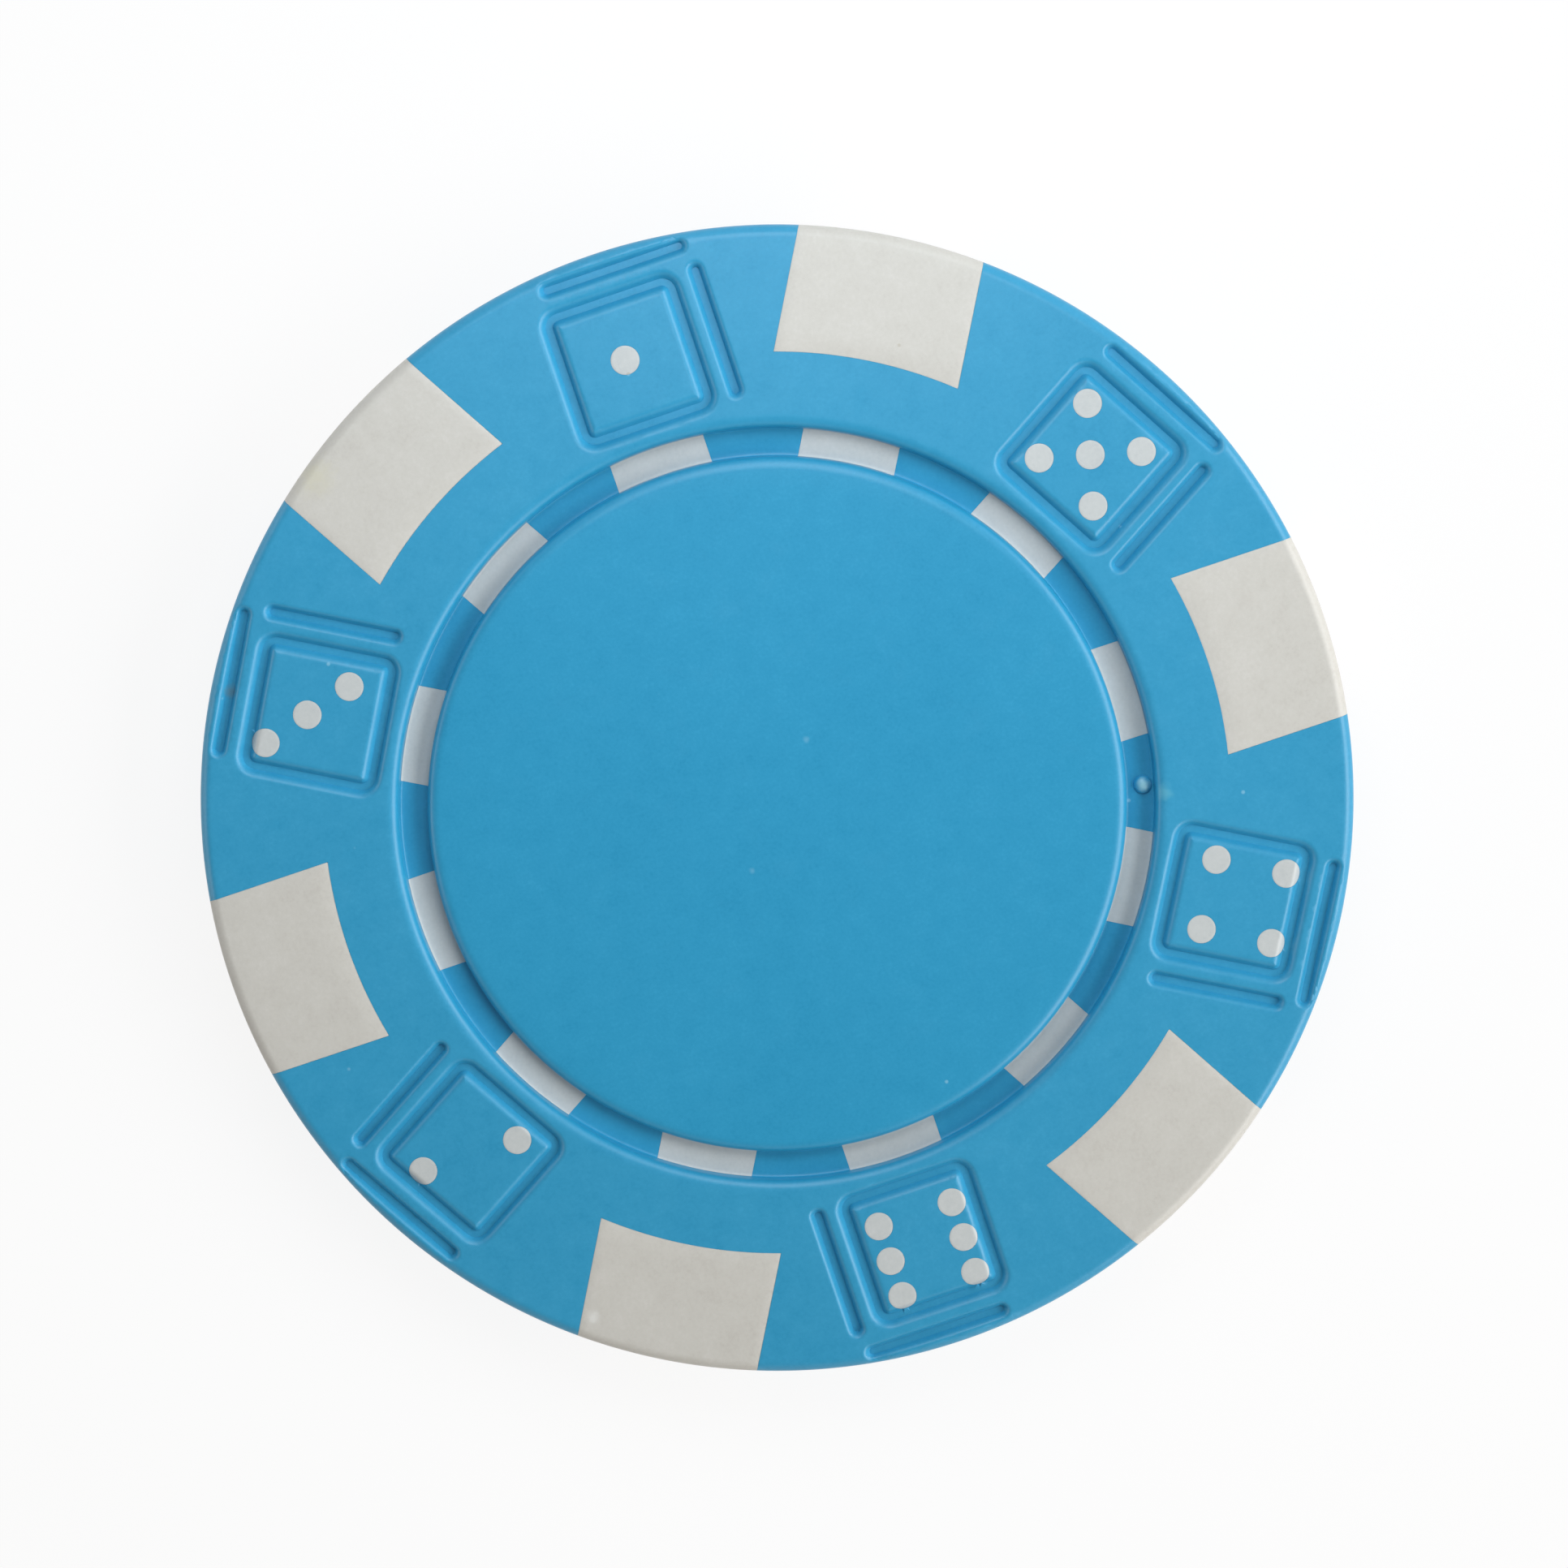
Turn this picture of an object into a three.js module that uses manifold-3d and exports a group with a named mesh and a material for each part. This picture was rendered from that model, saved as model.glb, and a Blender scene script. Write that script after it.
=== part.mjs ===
// Chip-shaped golf ball marker: a blue body moulded around a steel slug, with white inserts that
// pass right through the body and show on both faces. Nothing on it moves.
// Millimetres. The chip lies on its back face at z = 0, +Z points out of the front face and the
// first edge insert lies on +X. Angles run counterclockwise, seen from the front.

import * as THREE from 'three';
import { mergeVertices } from 'three/addons/utils/BufferGeometryUtils.js';
import Module from 'manifold-3d';

// Chip
const chipDiameter = 40;
const chipThickness = 3.3;
const rimEdgeRadius = 0.5;
const mouldClearance = 0.05;

// Dice drawn as shallow grooves in the ring, alike on both faces
const rimToOuterLine = 0.68;
const dieLineGap = 0.95;
const dieSide = 4.42;
const dieCornerRadius = 0.36;
const dieSideShift = -0.085;
const dieToGroove = 0.83;
const dieGrooveWidth = 0.38;
const dieGrooveDepth = 0.26;
const outerLineLength = 4.95;
const outerLineShift = -0.6;
const sideLineLength = 4.5;
const sideLineShift = 0.1;
const lineWidth = 0.35;

// Ring groove around the centre panel
const grooveWidth = 0.99;
const grooveDepth = 0.62;
const grooveEdgeRadius = 0.4;
const panelDrop = 0.05;
const panelEdgeRadius = 0.4;
const straightWall = 0.03;

// Steel slug inside the panel
const slugWall = 0.5;
const slugCover = 0.45;
const slugEdgeChamfer = 0.2;

// White inserts that reach the rim
const edgeInsertCount = 6;
const edgeInsertWidth = 6.43;
const edgeInsertLength = 4.38;
const edgeKeyRimCover = 1.8;

// White inserts in the floor of the ring groove
const grooveInsertCount = 12;
const grooveInsertWidth = 3.38;
const grooveInsertLedge = 0.1;

// Hidden keys at half height, which lock every insert into the body
const keyReach = 0.6;
const keyThickness = 0.9;

// Pips: round pins through the chip, each die's set joined by a web at half height
const pipDiameter = 1.0;
const pipPitch = 1.24;
const twoPipAcross = 0.873;
const twoPipAlong = 1.5;
const sixPipColumn = 1.345;
const sixPipRow = 1.31;
const pipWebMargin = 0.15;

// Stub left in the ring groove where the blue plastic was fed in
const gateAngle = -15.9;
const gateDiameter = 0.55;
const gateHeight = 0.24;

// Facets and cutters
const lathePoints = 60;
const filletSteps = 3;
const cornerSteps = 1;
const edgeArcSteps = 2;
const grooveArcSteps = 1;
const pipSides = 12;
const cutOvershoot = 0.3;

// Sizes that follow from the ones above
const chipRadius = chipDiameter / 2;
const halfHeight = chipThickness / 2;
const outerLineRadius = chipRadius - rimToOuterLine;
const dieCentreRadius = outerLineRadius - dieLineGap - dieSide / 2;
const grooveOuterRadius = dieCentreRadius - dieSide / 2 - dieToGroove;
const panelRadius = grooveOuterRadius - grooveWidth;
const grooveMiddleRadius = (panelRadius + grooveOuterRadius) / 2;
const panelFillet = Math.min(panelEdgeRadius, grooveDepth - panelDrop - straightWall);
const grooveFillet = Math.min(grooveEdgeRadius, grooveDepth - straightWall);
const slugRadius = panelRadius - slugWall;
const slugThickness = chipThickness - 2 * (panelDrop + slugCover);
const edgeInsertInnerRadius = chipRadius - edgeInsertLength;
const dieSpacing = 2 * Math.PI / edgeInsertCount;

// The six dice in order around the ring. Each pip is [radial, tangential] from the middle of its set,
// and outward is how far that middle lies beyond the middle of the die's outline.
const dice = [
  {
    name: 'five',
    outward: 0.06,
    pips: [[0, 0], [-pipPitch, -pipPitch], [-pipPitch, pipPitch], [pipPitch, -pipPitch], [pipPitch, pipPitch]],
  },
  {
    name: 'one',
    outward: 0.08,
    pips: [[0, 0]],
  },
  {
    name: 'three',
    outward: 0.37,
    pips: [[-pipPitch, -pipPitch], [0, 0], [pipPitch, pipPitch]],
  },
  {
    name: 'two',
    outward: 0.09,
    pips: [[-twoPipAlong, twoPipAcross], [twoPipAlong, -twoPipAcross]],
  },
  {
    name: 'six',
    outward: 0.24,
    pips: [-sixPipRow, 0, sixPipRow].flatMap((row) => [[row, -sixPipColumn], [row, sixPipColumn]]),
  },
  {
    name: 'four',
    outward: 0.35,
    pips: [[-pipPitch, -pipPitch], [-pipPitch, pipPitch], [pipPitch, -pipPitch], [pipPitch, pipPitch]],
  },
];

const wasm = await Module();
wasm.setup();

// A closed geometry, made into a solid that can be joined and cut
function solidFrom(geometry) {
  geometry.deleteAttribute('normal');
  geometry.deleteAttribute('uv');
  const merged = mergeVertices(geometry, 1e-5);
  const vertProperties = new Float32Array(merged.attributes.position.array);
  const triVerts = new Uint32Array(merged.index.array);
  return new wasm.Manifold(new wasm.Mesh({ numProp: 3, vertProperties, triVerts }));
}

// A solid, given back as a geometry
function geometryFrom(solid) {
  const { vertProperties, triVerts } = solid.getMesh();
  const geometry = new THREE.BufferGeometry();
  geometry.setAttribute('position', new THREE.BufferAttribute(vertProperties, 3));
  geometry.setIndex(new THREE.BufferAttribute(triVerts, 1));
  return geometry;
}

function joined(solids) {
  return solids.reduce((whole, solid) => whole.add(solid));
}

// A flat shape raised from one height to another, then turned about the chip's axis
function prism(shape, low, high, curveSegments, turn) {
  const options = { depth: high - low, bevelEnabled: false, curveSegments };
  const geometry = new THREE.ExtrudeGeometry(shape, options);
  geometry.translate(0, 0, low);
  geometry.rotateZ(turn);
  return solidFrom(geometry);
}

// A prism centred on half height
function middlePrism(shape, thickness, curveSegments, turn) {
  return prism(shape, halfHeight - thickness / 2, halfHeight + thickness / 2, curveSegments, turn);
}

// A profile of [radius, height] points that starts and ends on the axis, turned about +Z
function turned(profile) {
  const points = profile.map(([radius, height]) => new THREE.Vector2(radius, height));
  const geometry = new THREE.LatheGeometry(points, lathePoints);
  geometry.rotateX(Math.PI / 2);
  return solidFrom(geometry);
}

// Points of an arc in a profile, angles in degrees
function profileArc(centreRadius, centreHeight, radius, from, to) {
  return Array.from({ length: filletSteps + 1 }, (_, step) => {
    const angle = THREE.MathUtils.degToRad(from + (to - from) * step / filletSteps);
    return [centreRadius + radius * Math.cos(angle), centreHeight + radius * Math.sin(angle)];
  });
}

// A profile given for the front, completed with its mirror image for the back
function bothFaces(frontProfile) {
  const back = frontProfile.map(([radius, height]) => [radius, chipThickness - height]);
  return [...back, ...frontProfile.toReversed()];
}

// Outline between two circles about the chip's axis, with straight sides parallel to +X
function parallelSector(innerRadius, outerRadius, halfWidth) {
  const inner = Math.asin(halfWidth / innerRadius);
  const outer = Math.asin(halfWidth / outerRadius);
  const shape = new THREE.Shape();
  shape.absarc(0, 0, outerRadius, -outer, outer, false);
  shape.absarc(0, 0, innerRadius, inner, -inner, true);
  shape.closePath();
  return shape;
}

// Rounded rectangle about a centre, with its sides along X and Y
function roundedRectangle(path, x, y, length, width, radius) {
  const right = x + length / 2 - radius;
  const left = x - length / 2 + radius;
  const top = y + width / 2 - radius;
  const bottom = y - width / 2 + radius;
  path.absarc(right, top, radius, 0, Math.PI / 2, false);
  path.absarc(left, top, radius, Math.PI / 2, Math.PI, false);
  path.absarc(left, bottom, radius, Math.PI, 1.5 * Math.PI, false);
  path.absarc(right, bottom, radius, 1.5 * Math.PI, 2 * Math.PI, false);
  path.closePath();
  return path;
}

// Chip with its ring groove, before anything is let into it
function chipBlank() {
  const panelTop = chipThickness - panelDrop;
  const floor = chipThickness - grooveDepth;
  const front = [
    [0, panelTop],
    ...profileArc(panelRadius - panelFillet, panelTop - panelFillet, panelFillet, 90, 0),
    [panelRadius, floor],
    [grooveOuterRadius, floor],
    ...profileArc(grooveOuterRadius + grooveFillet, chipThickness - grooveFillet, grooveFillet, 180, 90),
    ...profileArc(chipRadius - rimEdgeRadius, chipThickness - rimEdgeRadius, rimEdgeRadius, 90, 0),
  ];
  return turned(bothFaces(front));
}

// Steel slug, or the hollow for it when it is grown
function slugSolid(grow) {
  const top = halfHeight + slugThickness / 2 + grow;
  const radius = slugRadius + grow;
  return turned(bothFaces([[0, top], [radius - slugEdgeChamfer, top], [radius, top - slugEdgeChamfer]]));
}

// Edge insert on +X, longer than the chip: the rim is cut to shape afterwards
function edgeInsertSolid(grow, turn = 0) {
  const halfWidth = edgeInsertWidth / 2 + grow;
  const innerRadius = edgeInsertInnerRadius - grow;
  const keyEnd = chipRadius - edgeKeyRimCover + grow;
  const block = parallelSector(innerRadius, chipRadius + cutOvershoot, halfWidth);
  const key = parallelSector(innerRadius - keyReach, keyEnd, halfWidth + keyReach);
  return joined([
    middlePrism(block, chipThickness + 2 * cutOvershoot, edgeArcSteps, turn),
    middlePrism(key, keyThickness + 2 * grow, edgeArcSteps, turn),
  ]);
}

// Groove insert on +X: a bar from the front floor to the back floor, with a key that reaches in to the
// slug's rim and out into the ring
function grooveInsertSolid(grow, overshoot, turn = 0) {
  const halfWidth = grooveInsertWidth / 2 + grow;
  const innerRadius = panelRadius + grooveInsertLedge - grow;
  const outerRadius = grooveOuterRadius - grooveInsertLedge + grow;
  const barHeight = chipThickness - 2 * grooveDepth + 2 * overshoot;
  const bar = parallelSector(innerRadius, outerRadius, halfWidth);
  const key = parallelSector(slugRadius + mouldClearance - grow, outerRadius + keyReach, halfWidth);
  return joined([
    middlePrism(bar, barHeight, grooveArcSteps, turn),
    middlePrism(key, keyThickness + 2 * grow, grooveArcSteps, turn),
  ]);
}

// One die's pips: pins through the chip on a common web
function pipSolid(die, grow, overshoot, turn = 0) {
  const pipRadius = pipDiameter / 2 + grow;
  const setRadius = dieCentreRadius + die.outward;
  const reach = (axis) => Math.max(...die.pips.map((pip) => Math.abs(pip[axis]))) + pipRadius + pipWebMargin;
  const web = roundedRectangle(new THREE.Shape(), setRadius, 0, 2 * reach(0), 2 * reach(1), pipRadius);
  const pins = die.pips.map(([radial, tangential]) => {
    const pin = new THREE.CylinderGeometry(pipRadius, pipRadius, chipThickness + 2 * overshoot, pipSides);
    pin.rotateX(Math.PI / 2);
    pin.translate(setRadius + radial, tangential, halfHeight);
    pin.rotateZ(turn);
    return solidFrom(pin);
  });
  return joined([middlePrism(web, keyThickness + 2 * grow, cornerSteps, turn), ...pins]);
}

// Grooves that draw one die: a square, a line beyond its outer side and a line beside it, on both faces
function dieGrooves(turn = 0) {
  const side = dieSide + dieGrooveWidth;
  const square = roundedRectangle(
    new THREE.Shape(), dieCentreRadius, dieSideShift, side, side, dieCornerRadius + dieGrooveWidth / 2);
  const face = roundedRectangle(
    new THREE.Path(), dieCentreRadius, dieSideShift,
    dieSide - dieGrooveWidth, dieSide - dieGrooveWidth, dieCornerRadius - dieGrooveWidth / 2);
  square.holes.push(face);
  const outerLine = roundedRectangle(
    new THREE.Shape(), outerLineRadius, outerLineShift, lineWidth, outerLineLength, lineWidth / 2);
  const sideLine = roundedRectangle(
    new THREE.Shape(), dieCentreRadius + sideLineShift, dieSideShift - dieSide / 2 - dieLineGap,
    sideLineLength, lineWidth, lineWidth / 2);
  const cutters = [square, outerLine, sideLine].flatMap((shape) => [
    prism(shape, chipThickness - dieGrooveDepth, chipThickness + cutOvershoot, cornerSteps, turn),
    prism(shape, -cutOvershoot, dieGrooveDepth, cornerSteps, turn),
  ]);
  return joined(cutters);
}

// Stub on the front floor of the ring groove
function gateStub() {
  const height = gateHeight + cutOvershoot;
  const stub = new THREE.CylinderGeometry(gateDiameter / 2, gateDiameter / 2, height, pipSides);
  stub.rotateX(Math.PI / 2);
  stub.translate(grooveMiddleRadius, 0, chipThickness - grooveDepth - cutOvershoot + height / 2);
  stub.rotateZ(THREE.MathUtils.degToRad(gateAngle));
  return solidFrom(stub);
}

function edgeInsertTurn(index) {
  return 2 * Math.PI * index / edgeInsertCount;
}

function grooveInsertTurn(index) {
  return 2 * Math.PI * index / grooveInsertCount;
}

// Each die stands half way between two edge inserts
function dieTurn(index) {
  return dieSpacing * (index + 0.5);
}

function count(number) {
  return Array.from({ length: number }, (_, index) => index);
}

const bluePlastic = new THREE.MeshStandardMaterial({
  name: 'blue_plastic', color: 0x3f9fcc, roughness: 0.45, metalness: 0, flatShading: true,
});
const whitePlastic = new THREE.MeshStandardMaterial({
  name: 'white_plastic', color: 0xd6d6cf, roughness: 0.5, metalness: 0, flatShading: true,
});
const slugSteel = new THREE.MeshStandardMaterial({
  name: 'slug_steel', color: 0x8c9094, roughness: 0.4, metalness: 1, flatShading: true,
});

const blank = chipBlank();

// Blue body: the blank with hollows for the slug and every insert, and with the dice drawn in it
function blueBody() {
  const hollows = [
    slugSolid(mouldClearance),
    ...count(edgeInsertCount).map((index) => edgeInsertSolid(mouldClearance, edgeInsertTurn(index))),
    ...count(grooveInsertCount).map((index) =>
      grooveInsertSolid(mouldClearance, cutOvershoot, grooveInsertTurn(index))),
    ...dice.map((die, index) => pipSolid(die, mouldClearance, cutOvershoot, dieTurn(index))),
    ...dice.map((die, index) => dieGrooves(dieTurn(index))),
  ];
  return blank.subtract(joined(hollows)).add(gateStub());
}

function namedMesh(name, geometry, material, turn = 0) {
  const mesh = new THREE.Mesh(geometry, material);
  mesh.name = name;
  mesh.rotation.z = turn;
  return mesh;
}

const chip = new THREE.Group();
chip.name = 'chip_ball_marker';
chip.add(namedMesh('blue_body', geometryFrom(blueBody()), bluePlastic));
chip.add(namedMesh('steel_slug', geometryFrom(slugSolid(0)), slugSteel));

const edgeInserts = new THREE.Group();
const edgeInsertGeometry = geometryFrom(edgeInsertSolid(0).intersect(blank));
count(edgeInsertCount).forEach((index) => {
  edgeInserts.add(namedMesh(`edge_insert_${index + 1}`, edgeInsertGeometry, whitePlastic, edgeInsertTurn(index)));
});
chip.add(edgeInserts);

const grooveInserts = new THREE.Group();
const grooveInsertGeometry = geometryFrom(grooveInsertSolid(0, 0));
count(grooveInsertCount).forEach((index) => {
  const name = `groove_insert_${index + 1}`;
  grooveInserts.add(namedMesh(name, grooveInsertGeometry, whitePlastic, grooveInsertTurn(index)));
});
chip.add(grooveInserts);

const pipSets = new THREE.Group();
dice.forEach((die, index) => {
  const pips = pipSolid(die, 0, 0).subtract(dieGrooves());
  pipSets.add(namedMesh(`pips_${die.name}`, geometryFrom(pips), whitePlastic, dieTurn(index)));
});
chip.add(pipSets);

export default chip;
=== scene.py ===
"""Looks of a moulded blue and white chip with six dice on its ring, used to mark a ball on a green.

Lengths are written in millimetres and angles in radians unless a name says degrees. Meshes are handed to
Blender in metres. The chip lies on its back, its front faces +Z, and its axis is the Z axis.
"""

import logging
import math
from abc import ABC, abstractmethod
from dataclasses import dataclass, field
from enum import Enum
from typing import ClassVar, Union

import bmesh
import bpy
import numpy as np
from mathutils import Matrix, Vector
from mathutils.geometry import delaunay_2d_cdt


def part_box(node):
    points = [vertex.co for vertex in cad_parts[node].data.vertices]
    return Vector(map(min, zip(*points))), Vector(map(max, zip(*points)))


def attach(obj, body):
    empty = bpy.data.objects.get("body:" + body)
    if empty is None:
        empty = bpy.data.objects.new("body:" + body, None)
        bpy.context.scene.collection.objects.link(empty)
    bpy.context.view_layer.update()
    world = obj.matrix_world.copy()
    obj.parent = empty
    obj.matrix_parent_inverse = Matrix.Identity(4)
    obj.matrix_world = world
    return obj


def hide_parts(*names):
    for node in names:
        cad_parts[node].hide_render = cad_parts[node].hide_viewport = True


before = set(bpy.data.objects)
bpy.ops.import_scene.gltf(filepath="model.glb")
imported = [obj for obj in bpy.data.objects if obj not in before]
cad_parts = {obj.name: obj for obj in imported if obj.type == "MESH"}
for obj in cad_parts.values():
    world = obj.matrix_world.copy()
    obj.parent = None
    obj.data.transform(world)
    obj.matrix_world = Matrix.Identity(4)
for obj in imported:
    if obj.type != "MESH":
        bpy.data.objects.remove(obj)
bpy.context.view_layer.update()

MM = 0.001
FULL_TURN = 2 * math.pi
WELD_DISTANCE = 0.0005
SHARP_ANGLE = math.radians(34)
FILL_TOLERANCE = 1e-6
NOISE_MIDDLE = 0.5
WHITE_LIGHT = (1.0, 1.0, 1.0, 1.0)
# Rings of the wave pattern lie about this far apart at a scale of 1, in metres.
WAVE_LENGTH = 0.3

log = logging.getLogger("chip")


class Slot(Enum):
    """Material slots of the record that the pieces take their finish from."""

    BLUE = "blue_plastic"
    WHITE = "white_plastic"


def linear(red: float, green: float, blue: float) -> tuple[float, float, float, float]:
    """Turns a colour as seen, 0 to 255 in each channel, into linear light by the sRGB curve.

    Args:
        red: Red channel.
        green: Green channel.
        blue: Blue channel.

    Returns:
        Linear red, green and blue, and full alpha.
    """
    seen = np.array([red, green, blue]) / 255
    straight = np.where(seen <= 0.04045, seen / 12.92, ((seen + 0.055) / 1.055) ** 2.4)
    return (*straight.tolist(), 1.0)


def linked(name: str, data: bpy.types.ID) -> bpy.types.Object:
    """Makes an object and links it into the scene.

    Args:
        name: The object's name.
        data: Its mesh, lamp or camera.

    Returns:
        The object, at the origin.
    """
    thing = bpy.data.objects.new(name, data)
    bpy.context.scene.collection.objects.link(thing)
    return thing


def direction(bearing_degrees: float, elevation_degrees: float) -> Vector:
    """Unit vector at a bearing, counterclockwise from +X, and an elevation above the floor."""
    bearing, elevation = math.radians(bearing_degrees), math.radians(elevation_degrees)
    flat = math.cos(elevation)
    return Vector((flat * math.cos(bearing), flat * math.sin(bearing), math.sin(elevation)))


# Shader sums


class Wire:
    """A node's output socket that takes part in sums written as Python expressions."""

    def __init__(self, bench: "NodeBench", socket: bpy.types.NodeSocket) -> None:
        """Keeps the socket and the bench that its node stands on."""
        self.bench = bench
        self.socket = socket

    def math(self, operation: str, first: "Operand", second: "Operand") -> "Wire":
        """Adds one Math node.

        Args:
            operation: The Math node's operation.
            first: First operand.
            second: Second operand.

        Returns:
            The node's result.
        """
        return self.bench.node("ShaderNodeMath", {"operation": operation}, {0: first, 1: second})

    def __add__(self, other: "Operand") -> "Wire":
        """This plus other."""
        return self.math("ADD", self, other)

    def __radd__(self, other: "Operand") -> "Wire":
        """Other plus this."""
        return self.math("ADD", other, self)

    def __sub__(self, other: "Operand") -> "Wire":
        """This minus other."""
        return self.math("SUBTRACT", self, other)

    def __rsub__(self, other: "Operand") -> "Wire":
        """Other minus this."""
        return self.math("SUBTRACT", other, self)

    def __mul__(self, other: "Operand") -> "Wire":
        """This times other."""
        return self.math("MULTIPLY", self, other)

    def __rmul__(self, other: "Operand") -> "Wire":
        """Other times this."""
        return self.math("MULTIPLY", other, self)

    def at_least(self, other: "Operand") -> "Wire":
        """The larger of this and other."""
        return self.math("MAXIMUM", self, other)


Operand = Union[Wire, float]


class NodeBench:
    """A node tree with one method that adds any node."""

    def __init__(self, tree: bpy.types.NodeTree) -> None:
        """Empties the tree."""
        self.tree = tree
        tree.nodes.clear()

    def node(self, kind: str, settings: dict | None = None, inputs: dict | None = None,
             output: int | str = 0) -> Wire:
        """Adds a node, sets it up and wires it.

        Args:
            kind: The node's type.
            settings: Properties of the node, such as a Math node's operation, set first.
            inputs: Values or wires by socket name or number.
            output: The output socket that is returned.

        Returns:
            The chosen output as a wire.
        """
        node = self.tree.nodes.new(kind)
        for name, value in (settings or {}).items():
            setattr(node, name, value)
        for name, value in (inputs or {}).items():
            if isinstance(value, Wire):
                self.tree.links.new(value.socket, node.inputs[name])
            else:
                node.inputs[name].default_value = value
        return Wire(self, node.outputs[output] if len(node.outputs) else None)

    def object_place(self) -> Wire:
        """The place on the piece, in metres."""
        return self.node("ShaderNodeTexCoord", output="Object")

    def noise(self, place: Wire, grain: float, detail: float = 2.0, rough: float = 0.5) -> Wire:
        """Cloudy noise between 0 and 1.

        Args:
            place: Coordinates in metres.
            grain: Size of one cloud in millimetres.
            detail: Layers of finer noise.
            rough: Strength of the finer layers.

        Returns:
            The noise value.
        """
        inputs = {"Vector": place, "Scale": 1 / (grain * MM), "Detail": detail, "Roughness": rough}
        return self.node("ShaderNodeTexNoise", {"noise_dimensions": "3D"}, inputs)

    def between(self, value: Wire, low: float, high: float) -> Wire:
        """Smooth step of value from 0 at low to 1 at high."""
        inputs = {"Value": value, "From Min": low, "From Max": high}
        return self.node("ShaderNodeMapRange", {"interpolation_type": "SMOOTHSTEP"}, inputs)

    def mixed(self, factor: Operand, first: Wire | tuple, second: Wire | tuple) -> Wire:
        """Colour mix of first and second.

        Args:
            factor: 0 gives first, 1 gives second.
            first: First colour.
            second: Second colour.

        Returns:
            The mixed colour.
        """
        settings = {"data_type": "RGBA", "blend_type": "MIX"}
        return self.node("ShaderNodeMix", settings, {0: factor, 6: first, 7: second}, output=2)

    def axis_distance(self, place: Wire) -> Wire:
        """Distance in metres from the chip's axis."""
        flat = self.node("ShaderNodeVectorMath", {"operation": "MULTIPLY"}, {0: place, 1: (1.0, 1.0, 0.0)})
        return self.node("ShaderNodeVectorMath", {"operation": "LENGTH"}, {0: flat}, output="Value")

    def distance(self, place: Wire, centre: tuple[float, float, float]) -> Wire:
        """Distance in metres from a point given in millimetres."""
        inputs = {0: place, 1: tuple(MM * value for value in centre)}
        return self.node("ShaderNodeVectorMath", {"operation": "DISTANCE"}, inputs, output="Value")

    def bump(self, height: Wire, rise: float, strength: float) -> Wire:
        """Normal of a surface on which a height of 1 stands for a rise in millimetres."""
        inputs = {"Strength": strength, "Distance": rise * MM, "Height": height}
        return self.node("ShaderNodeBump", None, inputs)


def new_material(name: str) -> tuple[bpy.types.Material, NodeBench]:
    """Makes an empty node material.

    Args:
        name: The material's name.

    Returns:
        The material, and the bench that its nodes go on.
    """
    material = bpy.data.materials.new(name)
    material.use_nodes = True
    return material, NodeBench(material.node_tree)


# Finishes


@dataclass(frozen=True)
class Mark:
    """A small blemish on a finish: a stain, a rubbed place or a speck.

    The place is x, y and z in millimetres, and the colour is as seen.
    """

    place: tuple[float, float, float]
    radius: float
    colour: tuple[float, float, float]
    strength: float

    def over(self, bench: NodeBench, place: Wire, ragged: Wire, base: Wire) -> Wire:
        """Lays the mark over a colour: strongest in its middle, and with a ragged edge.

        Args:
            bench: The bench to add nodes to.
            place: Coordinates in metres.
            ragged: Noise that frays the edge.
            base: The colour beneath.

        Returns:
            The marked colour.
        """
        reach = self.radius * MM
        away = bench.distance(place, self.place) + (ragged - NOISE_MIDDLE) * reach
        mask = 1.0 - bench.between(away, 0.0, reach)
        return bench.mixed(mask * self.strength, base, linear(*self.colour))


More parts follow.
